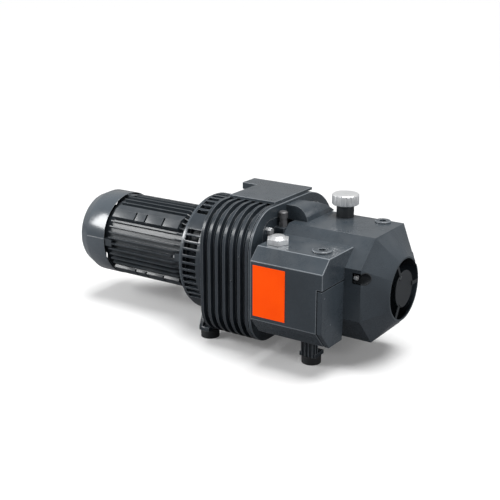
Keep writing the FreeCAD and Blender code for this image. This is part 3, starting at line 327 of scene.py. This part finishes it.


class COMPRESSOR_OT_finishes(bpy.types.Operator):
    """Makes the finishes and gives each solid its own"""

    bl_idname = "compressor.finishes"
    bl_label = "Finishes"

    def execute(self, context):
        look = settings().finish
        MATERIALS.update({
            "body_paint": paint("body_enamel", look.body, look.gloss),
            "hood_paint": paint("hood_enamel", look.hood, look.gloss - 0.04, dust_and_top_light_share=0.12),
            "motor_paint": paint("motor_enamel", look.motor, look.gloss + 0.16, 0.4),
            "cast": cast("bare_iron", (0.16, 0.16, 0.165)),
            "steel": metal("turned_steel", (0.52, 0.53, 0.55), 0.3, (40, 1, 1)),
            "zinc": metal("zinc_plate", (0.88, 0.89, 0.9), 0.32, scratch=0.12, lines=700.0,
                          metallic=0.7),
            "silver": metal("satin_aluminium", (0.93, 0.94, 0.95), 0.36, (1, 1, 30),
                            metallic=0.65),
            "rubber": plain("black_rubber", (0.022, 0.024, 0.027), 0.7, 900.0, 0.5),
            "plastic": plain("black_plastic", (0.028, 0.032, 0.036), 0.48, 1100.0, 0.35),
            # the label's film glows in its own colour: painted light, as the label is no lamp
            "label": plain("orange_film", look.label, 0.5, 260.0, 0.06, glow=0.5),
            "copper": striped("wound_wire", (0.5, 0.2, 0.08), "Z", 260.0, 0.35),
            "carbon": plain("pressed_carbon", (0.045, 0.045, 0.05), 0.4, 2200.0, metallic=0.3),
            "paper": pleated("pleated_paper", (0.72, 0.68, 0.55)),
            "laminate": striped("stacked_sheets", (0.32, 0.33, 0.35), "X", 640.0),
        })
        # lighter copies of the paints for the rounded edges: painted highlight
        for slot, share_of in (("body_paint", 1.0), ("hood_paint", 0.75), ("motor_paint", 0.7)):
            EDGE_HIGHLIGHTS[slot] = paint(slot.replace("paint", "edge"), scaled(look.edge, share_of),
                                look.gloss, 0.1, 0.05)
        # a lighter, glossier copy of the motor paint for the sheet metal: its lighter shade is a
        # painted sheen
        sheet = paint("sheet_enamel", scaled(look.motor, 1.9), look.gloss - 0.03, 0.1, 0.05)
        sheet.node_tree.nodes["Principled BSDF"].inputs["Coat Weight"].default_value = 0.9
        MATERIALS["sheet"] = sheet
        for name, node in frame["nodes"].items():
            node.data.materials.clear()
            node.data.materials.append(MATERIALS[slot_of(name)])
        return {"FINISHED"}


# shapes

def slot_of(node):
    for part in frame["record"]["subparts"]:
        if part["node"] == node:
            return part["material_slot"]
    raise ValueError(f"no slot for {node}")


GRILLED = ("motor_fan_cowl",)  # one flat face round all the slots would tear when rounded


def merged(node):
    """The solid's surface as one closed mesh, with its flat faces joined where they may be."""
    mesh = bmesh.new()
    mesh.from_mesh(frame["nodes"][node].data)
    bmesh.ops.remove_doubles(mesh, verts=mesh.verts, dist=0.004 * MM)
    if node not in GRILLED:
        bmesh.ops.dissolve_limit(mesh, angle_limit=math.radians(0.6), verts=mesh.verts,
                                 edges=mesh.edges, use_dissolve_boundaries=False)
    return mesh


def piece(name, mesh, slot, body=MAIN, node=None, smooth=35.0):
    """Turns a bmesh or mesh into a piece that rides on a body and may stand for a solid."""
    if isinstance(mesh, bmesh.types.BMesh):
        data = bpy.data.meshes.new(name)
        mesh.to_mesh(data)
        mesh.free()
    else:
        data = mesh
        data.name = name
    data.materials.clear()
    data.materials.append(MATERIALS[slot])
    data.shade_smooth()
    data.set_sharp_from_angle(angle=math.radians(smooth))
    thing = bpy.data.objects.new(name, data)
    bpy.context.scene.collection.objects.link(thing)
    if body:
        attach(thing, body)
    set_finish(thing, slot)
    if node:
        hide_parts(node)
    return thing


def round_edges(thing, width, steps=None, angle=32.0, painted_edge_highlight=True):
    """Rounds the edges that turn by more than the angle, with flat faces kept flat; where asked,
    the rounded edges take a lighter copy of the paint, a painted highlight.
    """
    rounding = thing.modifiers.new("edges", "BEVEL")
    rounding.width = width
    rounding.segments = steps or settings().detail.edge_steps
    rounding.limit_method = "ANGLE"
    rounding.angle_limit = math.radians(angle)
    rounding.use_clamp_overlap = True
    rounding.harden_normals = True
    rounding.miter_outer = "MITER_ARC"
    # the rounded edges take the lighter edge paint: painted highlight
    if painted_edge_highlight and thing["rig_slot"] in EDGE_HIGHLIGHTS:
        thing.data.materials.append(EDGE_HIGHLIGHTS[thing["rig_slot"]])
        rounding.material = 1
    return thing


def body_of(node):
    for body, members in frame["record"]["behaviour"]["bodies"].items():
        if node in members:
            return body
    raise ValueError(f"no body for {node}")


def softened(node, width, steps=None, painted_edge_highlight=True):
    return round_edges(piece(node + "_finished", merged(node), slot_of(node), body_of(node), node),
                       width, steps, painted_edge_highlight=painted_edge_highlight)


class COMPRESSOR_OT_castings(bpy.types.Operator):
    """Rounds the edges of the castings and covers"""

    bl_idname = "compressor.castings"
    bl_label = "Castings"

    def execute(self, context):
        edge = settings().detail
        widths = {
            "filter_box": edge.cast_edge * 0.8,
            "silencer_cover": edge.cast_edge * 1.3, "air_duct": edge.cast_edge,
            "hood_end_plate": edge.cast_edge * 0.6, "duct_cover": edge.cast_edge * 0.5,
            "hood_motor_plate": edge.small_edge, "ribbed_hood": edge.rib_edge,
            "coupling_housing": edge.rib_edge * 0.6, "motor_front_shield": edge.rib_edge * 0.6,
            "motor_frame": edge.small_edge, "motor_rear_shield": edge.small_edge,
            "motor_fan_cowl": edge.small_edge, "terminal_box": edge.cast_edge,
            "terminal_lid": edge.cast_edge * 0.8, "label_plate": 0.3 * MM,
            "pump_cover_inlet_side": edge.small_edge,
        }
        for node, width in widths.items():
            # all but the silencer cover get the lighter edge paint: painted highlight on their
            # rounded edges
            thing = softened(node, width, painted_edge_highlight=node != "silencer_cover")
            # the cowl and front shield take the lighter sheet paint: painted sheen
            if node in ("motor_fan_cowl", "motor_front_shield"):
                thing.data.materials[0] = MATERIALS["sheet"]
        return {"FINISHED"}


class COMPRESSOR_OT_fittings(bpy.types.Operator):
    """Rounds the edges of the feet, brackets, plugs, fittings and screws"""

    bl_idname = "compressor.fittings"
    bl_label = "Fittings"

    def execute(self, context):
        edge = settings().detail
        widths = {
            "rubber_feet": 1.6 * MM, "foot_brackets_motor_side": edge.rib_edge,
            "foot_bracket_inlet_side_front": edge.rib_edge,
            "foot_bracket_inlet_side_back": edge.rib_edge, "valve_stem": edge.small_edge,
            "valve_knob": edge.small_edge, "housing_port_plug": edge.small_edge,
            "box_port_plug": edge.small_edge, "box_fitting": edge.small_edge,
            "duct_fitting": edge.small_edge, "inlet_guard": edge.small_edge,
            "cable_gland": edge.small_edge, "motor_tie_screws": 0.5 * MM,
            "motor_flange_screws": 0.5 * MM, "pump_cover_bolts": 0.5 * MM,
            "terminal_screws": 0.3 * MM, "pump_fan": 0.4 * MM,
        }
        for node, width in widths.items():
            softened(node, width, 2)
        return {"FINISHED"}


class COMPRESSOR_OT_spring(bpy.types.Operator):
    """Makes the valve's spring in two halves, cut across its middle"""

    bl_idname = "compressor.spring"
    bl_label = "Valve spring"

    def execute(self, context):
        low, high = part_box("valve_spring")
        middle, wire = (low + high) / 2, 2.4 * MM
        for name, mover, side, end in (("upper", "spring_plate", 1, high.z - wire),
                                       ("lower", "poppet", -1, low.z + wire)):
            mesh = merged("valve_spring")
            bmesh.ops.bisect_plane(mesh, geom=[*mesh.verts, *mesh.edges, *mesh.faces],
                                   plane_co=middle, plane_no=(0, 0, side), clear_inner=True)
            bmesh.ops.holes_fill(mesh, edges=[e for e in mesh.edges if e.is_boundary], sides=0)
            half = piece(f"valve_spring_{name}", mesh, slot_of("valve_spring"), None,
                         "valve_spring")
            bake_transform(half)
        return {"FINISHED"}


class Shape(Tree):
    """A Geometry Nodes tree with named sizes that makes one mesh."""

    def __init__(self, name):
        self.name = name
        super().__init__(bpy.data.node_groups.new(name, "GeometryNodeTree"))
        self.tree.interface.new_socket("Geometry", in_out="OUTPUT",
                                       socket_type="NodeSocketGeometry")
        self.inputs = self.add("NodeGroupInput")
        self.tree.interface.new_socket("Geometry", in_out="INPUT", socket_type="NodeSocketGeometry")
        self.values = {}

    def size(self, name, value):
        """A named input: whole numbers count, other numbers measure."""
        kind = "NodeSocketInt" if isinstance(value, int) else "NodeSocketFloat"
        socket = self.tree.interface.new_socket(name, in_out="INPUT", socket_type=kind)
        self.values[socket.identifier] = value
        return self.inputs[name]

    def made(self, geometry, slot, seats=()):
        """The finished mesh, with its copies realized and its material set."""
        real = self.add("GeometryNodeRealizeInstances", {}, {"Geometry": geometry})["Geometry"]
        done = self.add("GeometryNodeSetMaterial", {},
                        {"Geometry": real, "Material": MATERIALS[slot]})["Geometry"]
        end = self.add("NodeGroupOutput")
        self.tree.links.new(done.socket, end.node.inputs["Geometry"])
        points = bpy.data.meshes.new(self.name)
        points.from_pydata(list(seats), [], [])
        host = bpy.data.objects.new(self.name, points)
        bpy.context.scene.collection.objects.link(host)
        maker = host.modifiers.new("shape", "NODES")
        maker.node_group = self.tree
        for identifier, value in self.values.items():
            maker[identifier] = value
        solid = host.evaluated_get(bpy.context.evaluated_depsgraph_get())
        mesh = bpy.data.meshes.new_from_object(solid)
        bpy.data.objects.remove(host)
        return mesh


def turned_to(mesh, axis):
    """Turns a mesh made along +Z so that it points along the axis."""
    mesh.transform(Vector((0, 0, 1)).rotation_difference(Vector(axis)).to_matrix().to_4x4())
    return mesh


def cap_screws(name, seats, axis, radius, height, slot="zinc"):
    """Socket cap screws whose heads stand on the seats and look along the axis."""
    shape = Shape(name)
    head, tall = shape.size("Head radius", radius), shape.size("Head height", height)
    cap = shape.add("GeometryNodeMeshCylinder", {}, {
        "Vertices": 28, "Radius": head, "Depth": tall})["Mesh"]
    hole = shape.add("GeometryNodeMeshCylinder", {}, {
        "Vertices": 6, "Radius": head * 0.5, "Depth": tall})["Mesh"]
    raised = shape.add("ShaderNodeCombineXYZ", {}, {"Z": tall * 0.5})["Vector"]
    hole = shape.add("GeometryNodeTransform", {}, {"Geometry": hole, "Translation": raised})
    cut = shape.add("GeometryNodeMeshBoolean", {"operation": "DIFFERENCE"}, {
        "Mesh 1": cap, "Mesh 2": hole["Geometry"]})["Mesh"]
    cut = shape.add("GeometryNodeTransform", {}, {"Geometry": cut, "Translation": raised})
    copies = shape.add("GeometryNodeInstanceOnPoints", {}, {
        "Points": shape.inputs["Geometry"], "Instance": cut["Geometry"]})["Instances"]
    back = Vector(axis).rotation_difference(Vector((0, 0, 1)))
    return turned_to(shape.made(copies, slot, [back @ Vector(seat) for seat in seats]), axis)


def ring_of(name, item, count, radius, slot):
    """Copies of a small box set round a circle about the Z axis, each turned with it."""
    shape = Shape(name)
    ring = shape.add("GeometryNodeMeshCircle", {}, {
        "Vertices": shape.size("Count", count), "Radius": shape.size("Ring radius", radius)})
    clip = shape.add("GeometryNodeMeshCube", {}, {"Size": item})["Mesh"]
    out = shape.add("GeometryNodeInputPosition")["Position"]
    turn = shape.add("FunctionNodeAlignEulerToVector", {"axis": "X", "pivot_axis": "Z"},
                     {"Vector": out})["Rotation"]
    copies = shape.add("GeometryNodeInstanceOnPoints", {}, {
        "Points": ring["Mesh"], "Instance": clip, "Rotation": turn})["Instances"]
    return shape.made(copies, slot)


def drum(radius, left, right, y, z, steps=40):
    """A closed cylinder along X."""
    mesh = bmesh.new()
    place = Matrix.Translation(((left + right) / 2, y, z)) @ Matrix.Rotation(math.pi / 2, 4, "Y")
    bmesh.ops.create_cone(mesh, cap_ends=True, segments=steps, radius1=radius, radius2=radius,
                          depth=right - left, matrix=place)
    return mesh


def block(mesh, low, high):
    """Adds a box between two corners."""
    low, high = Vector(low), Vector(high)
    place = Matrix.Translation((low + high) / 2) @ Matrix.Diagonal((*(high - low), 1))
    bmesh.ops.create_cube(mesh, size=1, matrix=place)


def combined(first, second, operation):
    """Cuts, joins or intersects two closed meshes."""
    things = []
    for index, mesh in enumerate((first, second)):
        data = bpy.data.meshes.new(f"working_{index}")
        mesh.to_mesh(data)
        mesh.free()
        things.append(bpy.data.objects.new(data.name, data))
        bpy.context.scene.collection.objects.link(things[-1])
    cut = things[0].modifiers.new("cut", "BOOLEAN")
    cut.operation, cut.object, cut.solver = operation, things[1], "EXACT"
    solid = things[0].evaluated_get(bpy.context.evaluated_depsgraph_get())
    result = bmesh.new()
    result.from_mesh(bpy.data.meshes.new_from_object(solid))
    for thing in things:
        bpy.data.objects.remove(thing)
    return result


def skin_round(points):
    """A closed convex skin round the points."""
    skin = bmesh.new()
    for point in points:
        skin.verts.new(point)
    bmesh.ops.convex_hull(skin, input=skin.verts)
    inside = [v for v in skin.verts if not v.link_faces]
    bmesh.ops.delete(skin, geom=inside, context="VERTS")
    return skin


class COMPRESSOR_OT_housing(bpy.types.Operator):
    """Makes the end housing with its screw pockets and their screws"""

    bl_idname = "compressor.housing"
    bl_label = "End housing"

    def execute(self, context):
        edge = settings().detail
        floor, reach = 259 * MM, 332 * MM  # where a pocket ends, and past the housing's face
        radius, wall = 13.5 * MM, 2 * MM
        bosses_start = 78.2 * MM  # the port bosses stand out behind this
        spots = ((-0.1335, 0.2365), (0.07, 0.2365))
        shell = merged("end_housing")
        outer = skin_round([v.co for v in shell.verts if v.co.y <= bosses_start])
        lining = bmesh.new()
        for y, z in spots:
            shell = combined(shell, drum(radius, floor, reach, y, z), "DIFFERENCE")
            cup = combined(drum(radius + wall, floor - wall, reach, y, z),
                           drum(radius - 0.0001, floor, reach + 0.01, y, z), "DIFFERENCE")
            data = bpy.data.meshes.new("cup")
            cup.to_mesh(data)
            cup.free()
            lining.from_mesh(data)
        cups = combined(lining, outer, "INTERSECT")
        housing = piece("end_housing_finished", shell, "body_paint", node="end_housing")
        round_edges(housing, edge.cast_edge, angle=20)
        cups = piece("housing_screw_pockets", cups, "body_paint")
        # the pockets' lining is black: painted shade inside the pockets; their rims take the
        # lighter edge paint, a painted highlight
        cups.data.materials[0] = MATERIALS["plastic"]
        round_edges(cups, 1.0 * MM, 2)
        heads = cap_screws("housing_screws", [(floor, y, z) for y, z in spots], (1, 0, 0),
                           6.5 * MM, 8 * MM)
        round_edges(piece("housing_screws", heads, "zinc"), 0.5 * MM, 2)
        return {"FINISHED"}


class COMPRESSOR_OT_trim(bpy.types.Operator):
    """Makes the cowl's seam, the guard's clips, the bracket ribs and the small marks"""

    bl_idname = "compressor.trim"
    bl_label = "Trim"

    def execute(self, context):
        low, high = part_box("motor_fan_cowl")
        seam = bmesh.new()
        block(seam, (low.x + 0.034, -0.1166, -0.0012), (high.x - 0.0005, -0.1148, 0.0012))
        turn = Matrix.Translation((0, 0, SHAFT_HEIGHT)) @ Matrix.Rotation(math.radians(-5), 4, "X")
        bmesh.ops.transform(seam, matrix=turn, verts=seam.verts)
        seam = piece("cowl_seam", seam, "motor_paint")
        # the seam takes the lighter edge paint: a painted highlight line along the cowl
        seam.data.materials[0] = EDGE_HIGHLIGHTS["motor_paint"]
        round_edges(seam, 0.4 * MM, 2, painted_edge_highlight=False)

        low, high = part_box("inlet_guard")
        clips = ring_of("guard_clips", (0.0035, 0.012, 0.004), 3, 0.0415, "plastic")
        clips.transform(Matrix.Rotation(math.radians(95), 4, "Z"))
        turned_to(clips, (1, 0, 0))
        clips.transform(Matrix.Translation((high.x + 0.0008, 0, SHAFT_HEIGHT)))
        round_edges(piece("guard_clips", clips, "plastic"), 0.6 * MM, 2)

        low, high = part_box("foot_bracket_inlet_side_front")
        ribs = bmesh.new()
        for place in (-15, -5, 5, 15):
            x = (low.x + high.x) / 2 + place * MM
            block(ribs, (x - 0.0016, low.y - 0.003, low.z + 0.001),
                  (x + 0.0016, low.y + 0.001, high.z - 0.001))
        for place in (4, 13):
            y = low.y + place * MM
            block(ribs, (high.x - 0.006, y - 0.0016, low.z + 0.009),
                  (high.x - 0.0005, y + 0.0016, high.z - 0.001))
        round_edges(piece("bracket_ribs", ribs, "hood_paint"), 0.8 * MM, 2)

        low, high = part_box("silencer_cover")
        marks = cap_screws("cover_screws", [(high.x - 0.0006, -0.2335, 0.21),
                                           (high.x - 0.0006, -0.2045, 0.1366)],
                           (1, 0, 0), 2.2 * MM, 1.4 * MM, "body_paint")
        round_edges(piece("cover_screws", marks, "body_paint"), 0.3 * MM, 2)

        bumps = bmesh.new()
        for x, y, z in ((4, -193, 325), (-18, -204.4, 254), (-40, -204.4, 190)):
            bmesh.ops.create_uvsphere(bumps, u_segments=16, v_segments=10, radius=2.4 * MM,
                                      matrix=Matrix.Translation((x * MM, y * MM, z * MM)))
        piece("rib_marks", bumps, "hood_paint")
        return {"FINISHED"}


# stage

def softbox(name, size, place, target, power):
    lamp = bpy.data.lights.new(name, "AREA")
    lamp.shape, lamp.size, lamp.size_y, lamp.energy = "RECTANGLE", size[0], size[1], power
    thing = bpy.data.objects.new(name, lamp)
    thing.location = place
    aim = Vector(target) - Vector(place)
    thing.rotation_mode = "QUATERNION"
    thing.rotation_quaternion = aim.to_track_quat("-Z", "Y")
    thing.visible_camera = False
    bpy.context.scene.collection.objects.link(thing)


class COMPRESSOR_OT_stage(bpy.types.Operator):
    """Makes the floor, the lamps, the surroundings and the camera"""

    bl_idname = "compressor.stage"
    bl_label = "Stage"

    def execute(self, context):
        stage = settings().stage
        half = stage.size / 2
        sheet = bpy.data.meshes.new("floor")
        corners = [(x * half, y * half, 0) for x, y in ((-1, -1), (1, -1), (1, 1), (-1, 1))]
        sheet.from_pydata(corners, [], [(0, 1, 2, 3)])
        floor = bpy.data.objects.new("floor", sheet)
        context.scene.collection.objects.link(floor)
        f = Finish("floor_paint")
        path = f.add("ShaderNodeLightPath")
        f.set(base_color=f.mixed(path["Is Camera Ray"], stage.bounce, stage.floor), roughness=0.8)
        seen = path["Is Camera Ray"] * 0.1 + path["Is Glossy Ray"] * 0.02
        glow = f.add("ShaderNodeEmission", {}, {
            "Color": (1, 1, 1, 1), "Strength": 1.25})["Emission"]
        mix = f.add("ShaderNodeMixShader", {}, {"Fac": seen, 2: glow})
        f.tree.links.new(f.shader.outputs["BSDF"], mix.node.inputs[1])
        f.tree.links.new(mix["Shader"].socket, f.tree.nodes["Material Output"].inputs["Surface"])
        sheet.materials.append(f.material)

        world = bpy.data.worlds.new("surroundings")
        world.use_nodes = True
        context.scene.world = world
        w = Tree(world.node_tree)
        path = w.add("ShaderNodeLightPath")
        seen = path["Is Camera Ray"]
        sky = w.tree.nodes["Background"]
        sky.inputs["Color"].default_value = (1, 1, 1, 1)
        strength = (seen * (1 - stage.world) + stage.world
                    + path["Is Glossy Ray"] * stage.shine)
        w.tree.links.new(strength.socket, sky.inputs["Strength"])

        sky_light = bpy.data.lights.new("ceiling", "SUN")
        sky_light.energy, sky_light.angle = 3.0, math.radians(40)
        ceiling = bpy.data.objects.new("ceiling", sky_light)
        ceiling.rotation_mode = "QUATERNION"
        ceiling.rotation_quaternion = Vector((-0.17, -0.07, -1)).to_track_quat("-Z", "Y")
        context.scene.collection.objects.link(ceiling)
        softbox("front_left", size=(0.9, 0.8), place=(-1.95, -2.1, 1.9), target=(-0.3, 0, 0.2),
                power=16)
        softbox("motor_side", size=(0.7, 0.7), place=(-1.5, -0.95, 0.85),
                target=(-0.45, -0.1, 0.2), power=16)
        softbox("right", size=(0.9, 0.9), place=(2.4, -0.6, 1.3), target=(0.3, 0, 0.2), power=12)

        camera = bpy.data.objects.new("camera", bpy.data.cameras.new("camera"))
        camera.data.lens = stage.lens
        camera.data.sensor_width = 36
        camera.data.clip_start, camera.data.clip_end = 0.05, 100
        azimuth, elevation = math.radians(33.6), math.radians(17.7)
        back = Vector((math.sin(azimuth) * math.cos(elevation),
                       -math.cos(azimuth) * math.cos(elevation), math.sin(elevation)))
        camera.location = (1.2946, -2.1305, 1.0167)
        camera.rotation_mode = "QUATERNION"
        camera.rotation_quaternion = (-back).to_track_quat("-Z", "Y")
        context.scene.collection.objects.link(camera)
        context.scene.camera = camera
        context.scene.view_settings.view_transform = "Standard"
        return {"FINISHED"}


OPERATORS = (COMPRESSOR_OT_finishes, COMPRESSOR_OT_castings, COMPRESSOR_OT_fittings,
             COMPRESSOR_OT_spring, COMPRESSOR_OT_housing, COMPRESSOR_OT_trim,
             COMPRESSOR_OT_stage)


class CompressorSettings(bpy.types.PropertyGroup):
    """All settings of the compressor"""

    finish: PointerProperty(type=FinishSettings)
    detail: PointerProperty(type=DetailSettings)
    stage: PointerProperty(type=StageSettings)


class COMPRESSOR_PT_panel(bpy.types.Panel):
    """Lists the steps and their settings"""

    bl_idname = "COMPRESSOR_PT_panel"
    bl_label = "Compressor"
    bl_space_type = "VIEW_3D"
    bl_region_type = "UI"
    bl_category = "Compressor"

    def draw(self, context):
        column = self.layout.column()
        for group in (settings().finish, settings().detail, settings().stage):
            for name in group.bl_rna.properties.keys():
                if name not in ("rna_type", "name"):
                    column.prop(group, name)
        for operator in OPERATORS:
            column.operator(operator.bl_idname)


CLASSES = (FinishSettings, DetailSettings, StageSettings, CompressorSettings, *OPERATORS,
           COMPRESSOR_PT_panel)


def register():
    for item in CLASSES:
        bpy.utils.register_class(item)
    bpy.types.Scene.compressor = PointerProperty(type=CompressorSettings)


def unregister():
    del bpy.types.Scene.compressor
    for item in reversed(CLASSES):
        bpy.utils.unregister_class(item)


def main():
    register()
    for operator in OPERATORS:
        getattr(bpy.ops.compressor, operator.bl_idname.split(".")[1])()


if __name__ == "__main__":
    main()
